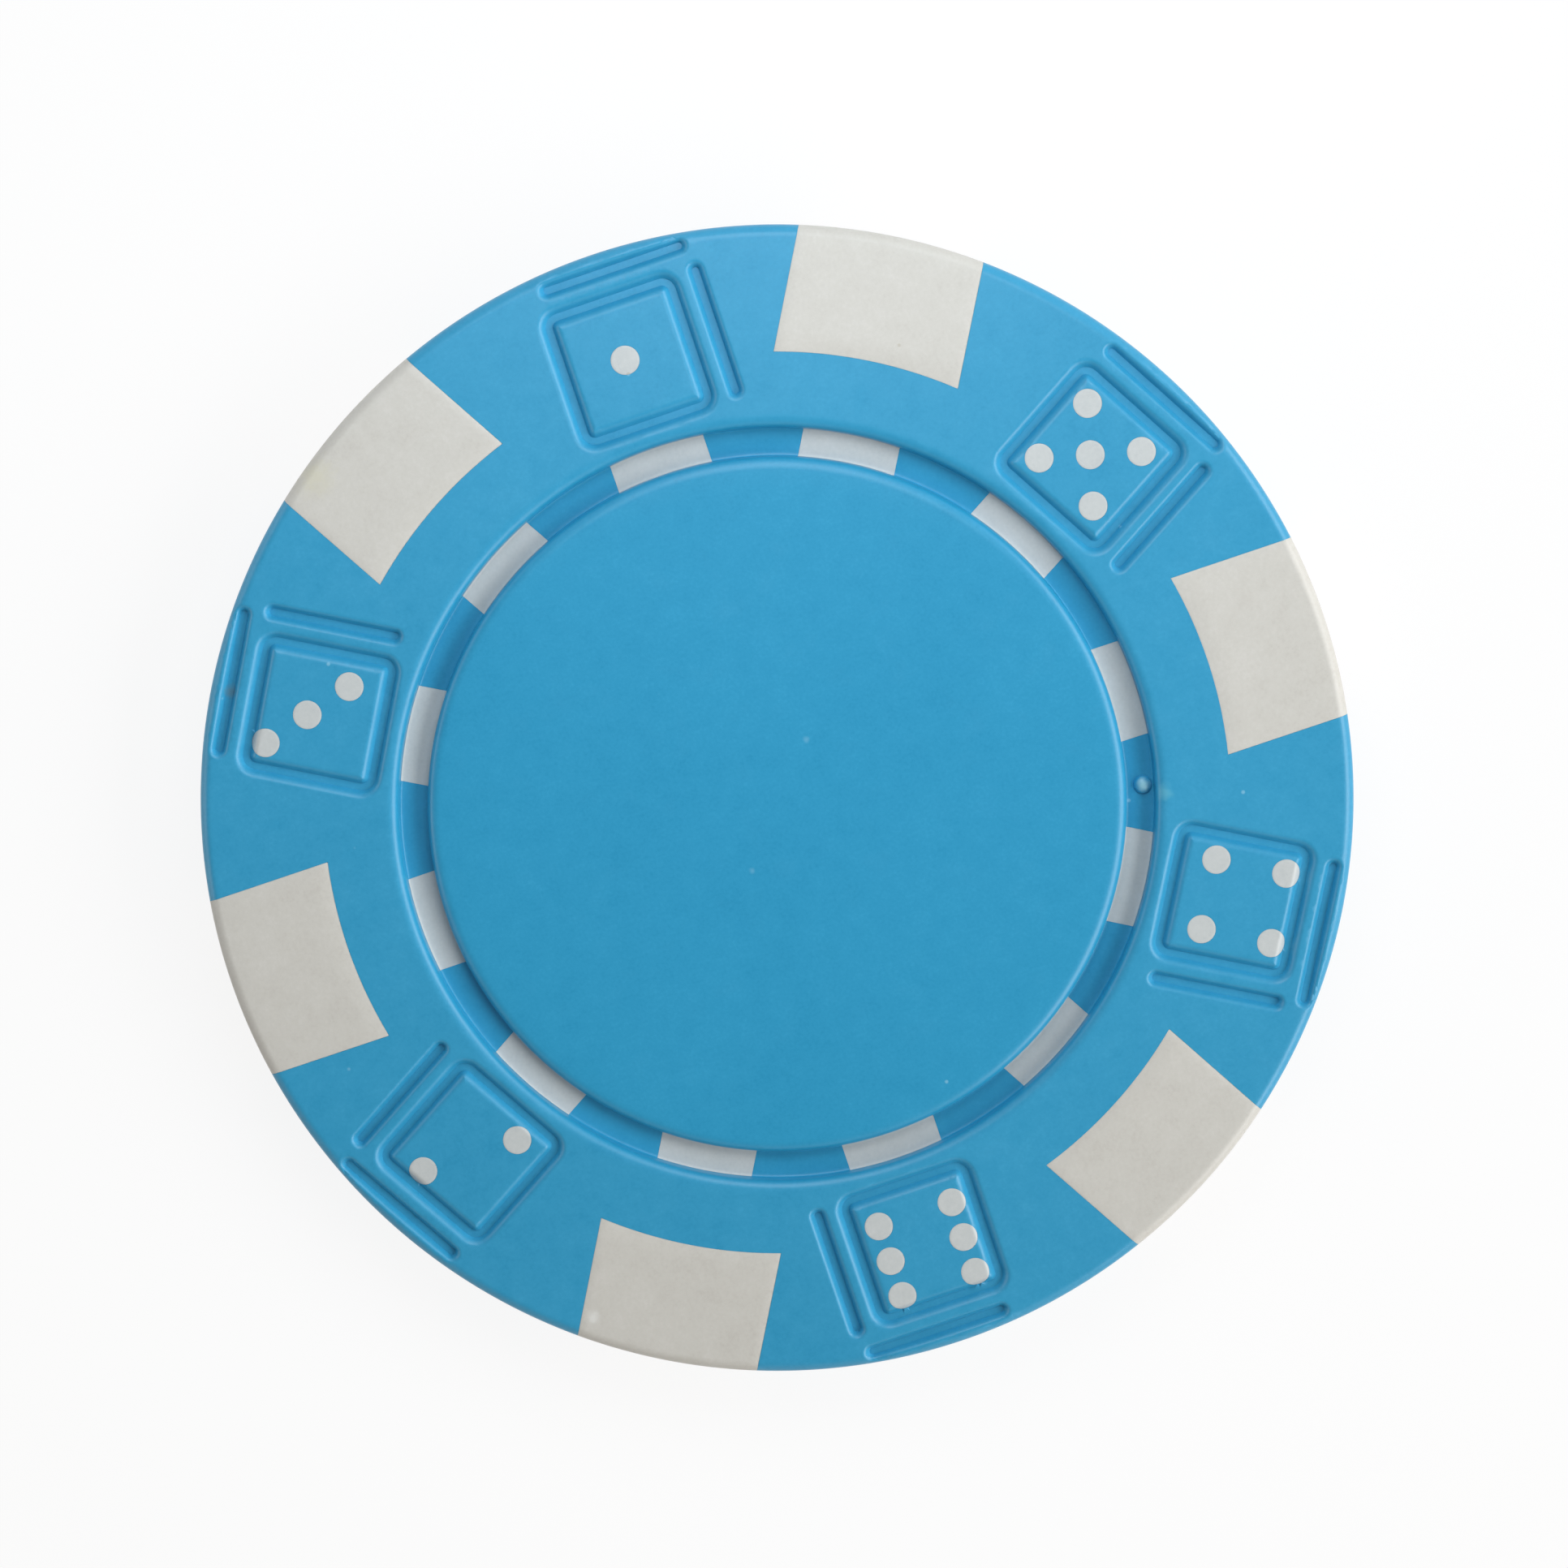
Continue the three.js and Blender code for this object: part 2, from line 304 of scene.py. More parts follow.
@dataclass(frozen=True)
class SatinPlastic:
    """Moulded plastic with a fine satin grain, slight clouding, dust specks and rubbed places.

    The colours are as seen under plain light, and lengths are in millimetres. Clouds, mottles and grain are
    three sizes of noise. A range is where a smooth step starts and ends, a gloss is a change of roughness,
    and a relief is a height as a share of the grain's.
    """

    name: str
    colour: tuple[float, float, float]
    pale: tuple[float, float, float]
    deep: tuple[float, float, float]
    speck: tuple[float, float, float]
    roughness: float = 0.36
    specular: float = 0.5
    refraction: float = 1.5
    cloud: float = 5.0
    cloud_share: float = 0.25
    mottle: float = 0.7
    mottle_share: float = 0.35
    mottle_relief: float = 0.3
    grain: float = 0.12
    grain_share: float = 0.4
    grain_height: float = 0.0027
    grain_gloss: float = 0.10
    bump_strength: float = 0.6
    deep_range: tuple[float, float] = (0.30, 0.52)
    pale_range: tuple[float, float] = (0.48, 0.72)
    rub: float = 1.6
    rub_range: tuple[float, float] = (0.52, 0.74)
    rub_gloss: float = 0.06
    speck_share: float = 0.5
    speck_pitch: float = 1.3
    speck_range: tuple[float, float] = (0.03, 0.07)
    speck_choice: tuple[float, float] = (0.86, 0.88)
    speck_relief: float = 0.8
    haze: tuple[float, float, float] = (228, 244, 250)
    haze_share: float = 0.0
    haze_start: float = 13.1
    haze_fade: float = 0.4
    mark_fray: float = 0.25
    marks: tuple[Mark, ...] = ()

    def material(self) -> bpy.types.Material:
        """Builds the node material.

        The base colour drifts between a deep and a pale shade in clouds and finer mottles, is mixed a
        little toward a paler tone outside the panel, a few specks of dust lie on it, and the roughness and
        a low bump follow the grain.

        Returns:
            The new material.
        """
        material, bench = new_material(self.name)
        place = bench.object_place()
        clouds = bench.noise(place, self.cloud, detail=3.0)
        mottles = bench.noise(place, self.mottle, detail=4.0, rough=0.6)
        grain = bench.noise(place, self.grain, rough=0.6)
        tone = clouds * self.cloud_share + mottles * self.mottle_share + grain * self.grain_share
        shade = bench.mixed(bench.between(tone, *self.deep_range), linear(*self.deep), linear(*self.colour))
        shade = bench.mixed(bench.between(tone, *self.pale_range), shade, linear(*self.pale))
        if self.haze_share:
            # Outside the panel the base colour is mixed a little toward a paler tone.
            start = self.haze_start * MM
            past_panel = bench.between(bench.axis_distance(place), start, start + self.haze_fade * MM)
            haze = past_panel * (mottles + NOISE_MIDDLE) * self.haze_share
            shade = bench.mixed(haze, shade, linear(*self.haze))
        dust = self.dust(bench, place)
        shade = bench.mixed(dust * self.speck_share, shade, linear(*self.speck))
        ragged = bench.noise(place, self.mark_fray, detail=3.0)
        for mark in self.marks:
            shade = mark.over(bench, place, ragged, shade)
        rubbed = bench.between(bench.noise(place, self.rub, detail=4.0, rough=0.65), *self.rub_range)
        gloss = self.roughness + (grain - NOISE_MIDDLE) * self.grain_gloss + rubbed * self.rub_gloss
        height = grain + mottles * self.mottle_relief + dust * self.speck_relief
        shader = bench.node("ShaderNodeBsdfPrincipled", None, {
            "Base Color": shade,
            "Roughness": gloss,
            "Normal": bench.bump(height, self.grain_height, self.bump_strength),
            "Specular IOR Level": self.specular,
            "IOR": self.refraction,
        })
        bench.node("ShaderNodeOutputMaterial", None, {"Surface": shader})
        return material

    def dust(self, bench: NodeBench, place: Wire) -> Wire:
        """Sparse specks: small spots in the few random cells whose own number is high.

        Args:
            bench: The bench to add nodes to.
            place: Coordinates in metres.

        Returns:
            1 on a speck, 0 elsewhere.
        """
        settings = {"feature": "F1", "voronoi_dimensions": "3D"}
        inputs = {"Vector": place, "Scale": 1 / (self.speck_pitch * MM), "Randomness": 1.0}
        spot = bench.node("ShaderNodeTexVoronoi", settings, inputs, output="Distance")
        cell = bench.node("ShaderNodeTexVoronoi", settings, inputs, output="Color")
        number = bench.node("ShaderNodeSeparateColor", None, {"Color": cell})
        return (1.0 - bench.between(spot, *self.speck_range)) * bench.between(number, *self.speck_choice)


@dataclass(frozen=True)
class TurnedSteel:
    """Steel disc with fine turning rings and a little clouding, with lengths in millimetres."""

    name: str = "slug_steel_turned"
    bright: tuple[float, float, float] = (196, 198, 201)
    dull: tuple[float, float, float] = (150, 152, 156)
    ring_pitch: float = 0.4
    ring_waver: float = 1.5
    ring_share: float = 0.6
    ring_height: float = 0.004
    bump_strength: float = 0.5
    cloud: float = 2.5
    cloud_share: float = 0.4
    cloud_gloss: float = 0.12
    roughness: float = 0.34

    def material(self) -> bpy.types.Material:
        """Builds the node material: rings around Z in the colour, the roughness and a low bump.

        Returns:
            The new material.
        """
        material, bench = new_material(self.name)
        place = bench.object_place()
        settings = {"wave_type": "RINGS", "rings_direction": "Z", "wave_profile": "SIN"}
        scale = WAVE_LENGTH / (self.ring_pitch * MM)
        inputs = {"Vector": place, "Scale": scale, "Distortion": self.ring_waver, "Detail": 2.0}
        rings = bench.node("ShaderNodeTexWave", settings, inputs, output="Fac")
        clouds = bench.noise(place, self.cloud, detail=4.0)
        tone = rings * self.ring_share + clouds * self.cloud_share
        shader = bench.node("ShaderNodeBsdfPrincipled", None, {
            "Base Color": bench.mixed(tone, linear(*self.dull), linear(*self.bright)),
            "Metallic": 1.0,
            "Roughness": self.roughness + clouds * self.cloud_gloss,
            "Normal": bench.bump(rings, self.ring_height, self.bump_strength),
        })
        bench.node("ShaderNodeOutputMaterial", None, {"Surface": shader})
        return material


# Surfaces


def grid_triangles(rows: int, columns: int, keep: np.ndarray | None = None) -> np.ndarray:
    """Splits each cell of a grid into two triangles.

    Args:
        rows: Points along the first parameter.
        columns: Points along the second parameter.
        keep: Which cells are used, one flag per cell; all where it is left out.

    Returns:
        Point numbers, three per triangle.
    """
    number = np.arange(rows * columns).reshape(rows, columns)
    corners = number[:-1, :-1], number[1:, :-1], number[1:, 1:], number[:-1, 1:]
    used = np.ones((rows - 1, columns - 1), bool) if keep is None else keep
    first, second, third, fourth = (corner[used] for corner in corners)
    return np.concatenate([np.stack([first, second, third], 1), np.stack([first, third, fourth], 1)])


def polar(radius: np.ndarray, angle: np.ndarray, height: np.ndarray) -> np.ndarray:
    """Points at a radius, an angle and a height: x = r cos a, y = r sin a, z = h."""
    parts = np.broadcast_arrays(radius * np.cos(angle), radius * np.sin(angle), height)
    return np.stack(parts, axis=-1)


def turned(points: np.ndarray, angle: float) -> np.ndarray:
    """Turns points about the chip's axis: x' = x cos a - y sin a, y' = x sin a + y cos a.

    Args:
        points: x and y of each point, and z where it has one.
        angle: The turn, counterclockwise.

    Returns:
        The turned points.
    """
    out = np.array(points, float)
    out[..., 0] = points[..., 0] * math.cos(angle) - points[..., 1] * math.sin(angle)
    out[..., 1] = points[..., 0] * math.sin(angle) + points[..., 1] * math.cos(angle)
    return out


def inside_loop(loop: np.ndarray, points: np.ndarray) -> np.ndarray:
    """Tells which points lie inside a closed loop.

    A point is inside where a ray along +x from it crosses the loop an odd number of times.

    Args:
        loop: Corners of the loop, x and y.
        points: Points to test, x and y.

    Returns:
        One flag per point.
    """
    start_x, start_y = loop[:, 0], loop[:, 1]
    end_x, end_y = np.roll(start_x, -1), np.roll(start_y, -1)
    x, y = points[:, :1], points[:, 1:2]
    spans = (start_y > y) != (end_y > y)
    rise = np.where(end_y == start_y, 1.0, end_y - start_y)
    crossing = start_x + (y - start_y) * (end_x - start_x) / rise
    return (np.count_nonzero(spans & (x < crossing), axis=1) % 2) == 1


def filled_loop(loop: np.ndarray, holes: list[np.ndarray],
                extra: np.ndarray) -> tuple[np.ndarray, np.ndarray]:
    """Triangulates the flat area inside a loop and outside its holes.

    Args:
        loop: Corners of the outer loop, x and y.
        holes: Corners of each hole.
        extra: Further points that the triangles use, all inside the area.

    Returns:
        Points, x and y, and triangles.
    """
    loops = [loop, *holes]
    starts = np.cumsum([0] + [len(part) for part in loops])
    edges = [np.stack([np.arange(len(part)), np.roll(np.arange(len(part)), -1)], 1) + start
             for part, start in zip(loops, starts)]
    flat = np.concatenate([*loops, extra])
    vectors = [Vector(point) for point in flat.tolist()]
    found = delaunay_2d_cdt(vectors, np.concatenate(edges).tolist(), [], 0, FILL_TOLERANCE)
    points = np.array([tuple(point) for point in found[0]])
    triangles = np.array(found[2])
    middle = points[triangles].mean(axis=1)
    used = inside_loop(loop, middle)
    for hole in holes:
        used &= ~inside_loop(hole, middle)
    return points, triangles[used]


@dataclass
class Shell:
    """A closed skin gathered patch by patch, in millimetres."""

    thickness: float
    points: list[np.ndarray] = field(default_factory=list)
    triangles: list[np.ndarray] = field(default_factory=list)
    count: int = 0

    def add(self, points: np.ndarray, triangles: np.ndarray) -> None:
        """Adds a patch.

        Args:
            points: x, y and z of each point.
            triangles: Point numbers within the patch.
        """
        self.points.append(points)
        self.triangles.append(triangles + self.count)
        self.count += len(points)

    def add_both(self, points: np.ndarray, triangles: np.ndarray) -> None:
        """Adds a patch of the front and its mirror image z' = thickness - z on the back."""
        self.add(points, triangles)
        self.add(self.mirrored(points), triangles[:, ::-1])

    def add_grid(self, grid: np.ndarray, keep: np.ndarray | None = None) -> None:
        """Adds a grid of points, rows by columns, as a patch."""
        self.add(grid.reshape(-1, 3), grid_triangles(*grid.shape[:2], keep))

    def add_wall(self, edge: np.ndarray) -> None:
        """Adds a ruled wall from an edge on the front straight down to its mirror image on the back."""
        self.add_grid(np.stack([edge, self.mirrored(edge)]))

    def add_block(self, front: np.ndarray) -> None:
        """Adds a closed block under a grid on the front: its back is the mirror image, with walls between.

        Args:
            front: Points of the front, rows by columns.
        """
        back = self.mirrored(front)[::-1]
        self.add_grid(np.concatenate([front, back, front[:1]]))
        for column in (0, -1):
            self.add_wall(front[:, column])

    def mirrored(self, points: np.ndarray) -> np.ndarray:
        """The same points on the back of the chip."""
        return points * (1, 1, -1) + (0, 0, self.thickness)

    def build(self, name: str) -> bpy.types.Object:
        """Welds the patches and makes the object.

        Args:
            name: The piece's name.

        Returns:
            The object, in metres, with smooth faces between sharp edges.
        """
        mesh = bpy.data.meshes.new(name)
        mesh.from_pydata(np.concatenate(self.points), [], np.concatenate(self.triangles).tolist())
        skin = bmesh.new()
        skin.from_mesh(mesh)
        bmesh.ops.remove_doubles(skin, verts=skin.verts, dist=WELD_DISTANCE)
        loose = [vert for vert in skin.verts if not vert.link_faces]
        bmesh.ops.delete(skin, geom=loose, context="VERTS")
        bmesh.ops.recalc_face_normals(skin, faces=skin.faces)
        bmesh.ops.scale(skin, verts=skin.verts, vec=(MM, MM, MM))
        open_edges = sum(not edge.is_manifold for edge in skin.edges)
        skin.to_mesh(mesh)
        skin.free()
        mesh.shade_smooth()
        mesh.set_sharp_from_angle(angle=SHARP_ANGLE)
        log.info("%s: %d triangles, %d open edges", name, len(mesh.polygons), open_edges)
        return linked(name, mesh)


def place_piece(piece: bpy.types.Object, slot: Slot, material: bpy.types.Material, *nodes: str) -> None:
    """Dresses a piece, sets it on the chip's body and lets it stand for its nodes.

    Args:
        piece: The new piece.
        slot: The record's slot; not used.
        material: The finish.
        nodes: Names of the solids that it stands for.
    """
    piece.data.materials.append(material)
    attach(piece, "root")
    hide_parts(*nodes)


# Shapes shared by the pieces


@dataclass(frozen=True)
class Outline:
    """The chip's overall shape: a disc with a rounded rim, the same on both sides."""

    radius: float
    thickness: float
    rim_rounding: float = 0.42
    ring_border: float = 19.9
    rim_steps: int = 9
    border_steps: int = 7

    @property
    def rounding_start(self) -> float:
        """Radius at which the face begins to drop to the rim."""
        return self.radius - self.rim_rounding

    def rounding_rows(self) -> np.ndarray:
        """Radii of the rows from the start of the rounding to just before the ring's border."""
        return np.linspace(self.rounding_start, self.ring_border, self.border_steps)[:-1]

    def rim_drop(self, radius: np.ndarray) -> np.ndarray:
        """How far the face has dropped at a radius: a quarter circle of the rim's rounding.

        With t the way past the start of the rounding R, the drop is R - sqrt(R^2 - t^2).

        Args:
            radius: Distance from the axis.

        Returns:
            Drop below the face.
        """
        past = np.clip(radius - self.rounding_start, 0, self.rim_rounding)
        return self.rim_rounding - np.sqrt(self.rim_rounding ** 2 - past ** 2)

    def rim_section(self) -> np.ndarray:
        """Radius and height along the rim's front rounding, from the ring's border to the side.

        Returns:
            One row per point.
        """
        start = math.acos((self.ring_border - self.rounding_start) / self.rim_rounding)
        angle = np.linspace(start, 0, self.rim_steps)
        radius = self.rounding_start + self.rim_rounding * np.cos(angle)
        height = self.thickness - self.rim_rounding + self.rim_rounding * np.sin(angle)
        return np.stack([radius, height], axis=-1)


@dataclass(frozen=True)
class InsertZone:
    """Inserts at even steps around the axis whose sides are parallel, and the gaps between them.

    A column of points at fraction s across an insert of half width w lies at the angle asin(s w / r).
    """

    count: int
    half_width: float
    insert_steps: int
    gap_steps: int

    @property
    def pitch(self) -> float:
        """Angle from one insert to the next."""
        return FULL_TURN / self.count

    def angles(self, radius: np.ndarray) -> np.ndarray:
        """Angles of the columns from the middle of one insert to the middle of the next.

        Args:
            radius: Radius of each row.

        Returns:
            One row of angles per radius.
        """
        row = np.asarray(radius, float)[..., None]
        across = np.linspace(0, 1, self.insert_steps + 1)
        first = np.arcsin(across * self.half_width / row)
        edge = first[..., -1:]
        gap = edge + (self.pitch - 2 * edge) * np.linspace(0, 1, self.gap_steps + 1)[1:-1]
        return np.concatenate([first, gap, self.pitch - first[..., ::-1]], axis=-1)

    def full_turn(self, radius: np.ndarray) -> np.ndarray:
        """Angles of the columns once around the axis, with the first column repeated at the end.

        Args:
            radius: Radius of each row.

        Returns:
            One row of angles per radius.
        """
        single = self.angles(radius)
        steps = [single[..., :-1] + turn * self.pitch for turn in range(self.count)]
        return np.concatenate([*steps, single[..., :1] + FULL_TURN], axis=-1)

    def gap_cells(self) -> np.ndarray:
        """One flag per cell around the axis: true between the inserts."""
        half = np.zeros(self.insert_steps, bool)
        return np.tile(np.concatenate([half, np.ones(self.gap_steps, bool), half]), self.count)

    def across(self) -> np.ndarray:
        """Fractions of the half width from one side of an insert to the other."""
        return np.linspace(-1, 1, 2 * self.insert_steps + 1)

    def angle_at(self, index: int, aside: np.ndarray | float, radius: np.ndarray | float) -> np.ndarray:
        """Angles of points at a distance aside of an insert's middle line, on the given radii."""
        return index * self.pitch + np.arcsin(aside / radius)


@dataclass(frozen=True)
class GrooveSection:
    """Section of the centre panel and the ring groove around it, from the axis out to the ring's face.

    The panel and the ring end in quarters of a squarish oval, and the groove's floor between them is half
    of one, so the section has no corner. Along a quarter the width is cos(u)^(2/n) and the height
    sin(u)^(2/n) of the whole, with n the oval's power.
    """

    face: float
    panel_drop: float = 0.05
    panel_radius: float = 12.13
    groove_outer: float = 13.12
    panel_round_width: float = 0.46
    panel_round_height: float = 0.38
    ring_round_width: float = 0.42
    ring_round_height: float = 0.36
    floor_drop: float = 0.7
    edge_power: float = 2.2
    floor_power: float = 9.0
    window_margin: float = 0.012
    flat_radii: tuple[float, ...] = (0.0, 3.0, 6.0, 9.0, 11.0)
    round_steps: int = 11
    floor_steps: int = 14

    @property
    def window(self) -> tuple[float, float]:
        """Inner and outer radius of the white inserts in the groove."""
        return self.panel_radius + self.window_margin, self.groove_outer - self.window_margin

    @property
    def border(self) -> float:
        """Radius at which the ring's flat face begins."""
        return self.groove_outer + self.ring_round_width

    @property
    def floor_middle(self) -> float:
        """Radius of the lowest line of the groove."""
        return (self.panel_radius + self.groove_outer) / 2

    def floor_height(self, radius: np.ndarray) -> np.ndarray:
        """Height of the groove's floor: half an oval between the panel's wall and the ring's wall.

        With t from -1 to 1 across the groove and n the oval's power, the floor lies (1 - |t|^n)^(1/n) of
        its depth below the line that joins the feet of the two walls.

        Args:
            radius: Distance from the axis.

        Returns:
            Height above the chip's back.
        """
        half = (self.groove_outer - self.panel_radius) / 2
        across = np.clip((radius - self.floor_middle) / half, -1, 1)
        panel_foot = self.face - self.panel_drop - self.panel_round_height
        ring_foot = self.face - self.ring_round_height
        foot = panel_foot + (ring_foot - panel_foot) * (across + 1) / 2
        lowest = self.face - self.floor_drop
        oval = (1 - np.abs(across) ** self.floor_power) ** (1 / self.floor_power)
        return foot + (lowest - (panel_foot + ring_foot) / 2) * oval

    def floor_section(self) -> np.ndarray:
        """Radius and height along the floor, in rows that lie closer together near the walls.

        Returns:
            One row per point, from the panel's wall to the ring's wall.
        """
        inner, outer = self.window
        swing = np.linspace(0, math.pi, self.floor_steps + 1)
        radius = (inner + outer) / 2 - (outer - inner) / 2 * np.cos(swing)
        return np.stack([radius, self.floor_height(radius)], -1)

    def rows(self) -> np.ndarray:
        """Radius and height along the whole section.

        Returns:
            One row per point, from the axis to the border of the ring's face.
        """
        panel = self.face - self.panel_drop
        swing = np.linspace(0, math.pi / 2, self.round_steps)
        rise = np.sin(swing) ** (2 / self.edge_power)
        run = np.clip(np.cos(swing), 0, 1) ** (2 / self.edge_power)
        flat = np.stack([self.flat_radii, np.full(len(self.flat_radii), panel)], -1)
        panel_edge = np.stack([
            self.panel_radius - self.panel_round_width * (1 - rise),
            panel - self.panel_round_height * (1 - run)], -1)
        ring_edge = np.stack([
            self.groove_outer + self.ring_round_width * (1 - run),
            self.face - self.ring_round_height * (1 - rise)], -1)
        return np.concatenate([flat, panel_edge, self.floor_section(), ring_edge])


@dataclass(frozen=True)
class DieDrawing:
    """Grooves that draw a die on the ring: a square with round corners, and two lines for its depth.

    In the die's own frame x points outward from the chip's axis and y counterclockwise.
    """

    centre_radius: float = 16.16
    side_shift: float = -0.085
    half_side: float = 2.21
    corner_radius: float = 0.36
    least_corner: float = 0.02
    outer_line_radius: float = 19.32
    outer_line_shift: float = -0.6
    outer_line_half: float = 2.37
    side_line_gap: float = 0.95
    side_line_shift: float = 0.06
    side_line_half: float = 2.13
    floor_half: float = 0.12
    square_mouth: float = 0.42
    line_mouth: float = 0.37
    depth: float = 0.26
    support: float = 0.05
    wall_steps: int = 7
    side_points: int = 18
    corner_points: int = 7

    @property
    def middle(self) -> tuple[float, float]:
        """Middle of the square in the die's frame."""
        return self.centre_radius, self.side_shift

    @property
    def lines(self) -> tuple[tuple[np.ndarray, np.ndarray], ...]:
        """Start and end of the two depth lines.

        Returns:
            The line outside the square and the line clockwise of it.
        """
        outer_x = self.outer_line_radius
        outer_y = self.outer_line_shift
        side_x = self.centre_radius + self.side_line_shift
        side_y = self.side_shift - self.half_side - self.side_line_gap
        outer = (np.array([outer_x, outer_y - self.outer_line_half]),
                 np.array([outer_x, outer_y + self.outer_line_half]))
        side = (np.array([side_x - self.side_line_half, side_y]),
                np.array([side_x + self.side_line_half, side_y]))
        return outer, side

    def square_distance(self, points: np.ndarray) -> np.ndarray:
        """Distance from the square's middle line, which is the edge of a box with round corners.

        Args:
            points: x and y in the die's frame.

        Returns:
            One distance per point.
        """
        away = np.abs(points - self.middle) - (self.half_side - self.corner_radius)
        outside = np.linalg.norm(np.maximum(away, 0), axis=-1)
        return np.abs(outside + np.minimum(away.max(axis=-1), 0) - self.corner_radius)

    def line_distance(self, points: np.ndarray) -> np.ndarray:
        """Distance from the nearest point of the two depth lines.

        Args:
            points: x and y in the die's frame.

        Returns:
            One distance per point.
        """
        each = []
        for start, end in self.lines:
            run = end - start
            share = np.clip(((points - start) @ run) / (run @ run), 0, 1)
            each.append(np.linalg.norm(points - start - share[..., None] * run, axis=-1))
        return np.minimum(*each)

    def clear_of_grooves(self, points: np.ndarray, margin: float) -> np.ndarray:
        """One flag per point: true where no groove's lip is nearer than the margin."""
        square = self.square_distance(points) > self.square_mouth + margin
        return square & (self.line_distance(points) > self.line_mouth + margin)

    def groove_depth(self, points: np.ndarray) -> np.ndarray:
        """Depth of the grooves: full on the floor, then a parabola that flattens out at the lip.

        Args:
            points: x and y in the die's frame.

        Returns:
            One depth per point.
        """
        square = (self.square_distance(points) - self.floor_half) / (self.square_mouth - self.floor_half)
        line = (self.line_distance(points) - self.floor_half) / (self.line_mouth - self.floor_half)
        return self.depth * (1 - np.clip(np.minimum(square, line), 0, 1)) ** 2

    def offsets(self, mouth: float) -> np.ndarray:
        """Distances from a groove's middle line at which the surface gets a row of points."""
        wall = np.linspace(self.floor_half, mouth, self.wall_steps)
        return np.concatenate([wall, [mouth + self.support]])

    def contour_points(self) -> np.ndarray:
        """Points on the grooves' middle lines and on lines beside them, where the surface bends.

        Returns:
            x and y of each point in the die's frame.
        """
        beside = self.offsets(self.square_mouth)
        squares = [self.square_contour(offset) for offset in np.concatenate([-beside, [0.0], beside])]
        runs = [self.line_contour(start, end, offset) for start, end in self.lines
                for offset in np.concatenate([[0.0], self.offsets(self.line_mouth)])]
        return np.concatenate([*squares, *runs])

    def square_contour(self, offset: float) -> np.ndarray:
        """Points around the square at a distance outside its middle line, the corners as arcs.

        Args:
            offset: The distance, below 0 for points inside.

        Returns:
            x and y of each point in the die's frame.
        """
        half = self.half_side + offset
        radius = max(self.corner_radius + offset, self.least_corner)
        swing = np.linspace(0, math.pi / 2, self.corner_points)
        corner = (half - radius) + radius * np.stack([np.cos(swing), np.sin(swing)], -1)
        across = np.linspace(half - radius, radius - half, self.side_points)[1:-1]
        quarter = np.concatenate([corner, np.stack([across, np.full_like(across, half)], -1)])
        flat = np.concatenate([turned(quarter, turn * math.pi / 2) for turn in range(4)])
        return flat + self.middle

    def line_contour(self, start: np.ndarray, end: np.ndarray, offset: float) -> np.ndarray:
        """Points around a line at a distance from it, with half circles at its ends.

        Args:
            start: Start of the line, x and y.
            end: End of the line.
            offset: The distance; 0 gives points on the line itself.

        Returns:
            x and y of each point in the die's frame.
        """
        share = np.linspace(0, 1, self.side_points)[:, None]
        run = start + share * (end - start)
        if offset == 0:
            return run
        along = (end - start) / np.linalg.norm(end - start)
        aside = np.array([-along[1], along[0]])
        swing = np.linspace(0, math.pi, 2 * self.corner_points)[1:-1, None]
        cap = np.cos(swing) * aside * offset
        reach = np.sin(swing) * along * offset
        sides = [run + aside * offset, run - aside * offset]
        return np.concatenate([*sides, end + cap + reach, start + cap - reach])


@dataclass(frozen=True)
class Die:
    """One die: its node's name, and its pips around the middle of the set.

    Each pip is given as outward and counterclockwise steps; shift is how far the middle of the set lies
    beyond the middle of the drawn square.
    """

    name: str
    shift: float
    pips: tuple[tuple[float, float], ...]

    def centres(self, drawing: DieDrawing) -> np.ndarray:
        """Middles of the pips in the die's frame."""
        return np.array(self.pips) + (drawing.centre_radius + self.shift, 0)


PIP_STEP = 1.24
TWO_ALONG = 1.5
TWO_ACROSS = 0.873
SIX_ROW = 1.31
SIX_COLUMN = 1.345
SQUARE_OF_PIPS = tuple((row * PIP_STEP, column * PIP_STEP) for row in (-1, 1) for column in (-1, 1))
SIX_PIPS = tuple((row * SIX_ROW, column * SIX_COLUMN) for row in (-1, 0, 1) for column in (-1, 1))

DICE = (
    Die("five", 0.06, ((0.0, 0.0), *SQUARE_OF_PIPS)),
    Die("one", 0.08, ((0.0, 0.0),)),
    Die("three", 0.37, ((-PIP_STEP, -PIP_STEP), (0.0, 0.0), (PIP_STEP, PIP_STEP))),
    Die("two", 0.09, ((-TWO_ALONG, TWO_ACROSS), (TWO_ALONG, -TWO_ACROSS))),
    Die("six", 0.24, SIX_PIPS),
    Die("four", 0.35, SQUARE_OF_PIPS),
)
DIE_PITCH = FULL_TURN / len(DICE)


def die_angle(index: int) -> float:
    """Angle of a die's middle: half a step past the insert before it."""
    return (index + 0.5) * DIE_PITCH


# Pieces


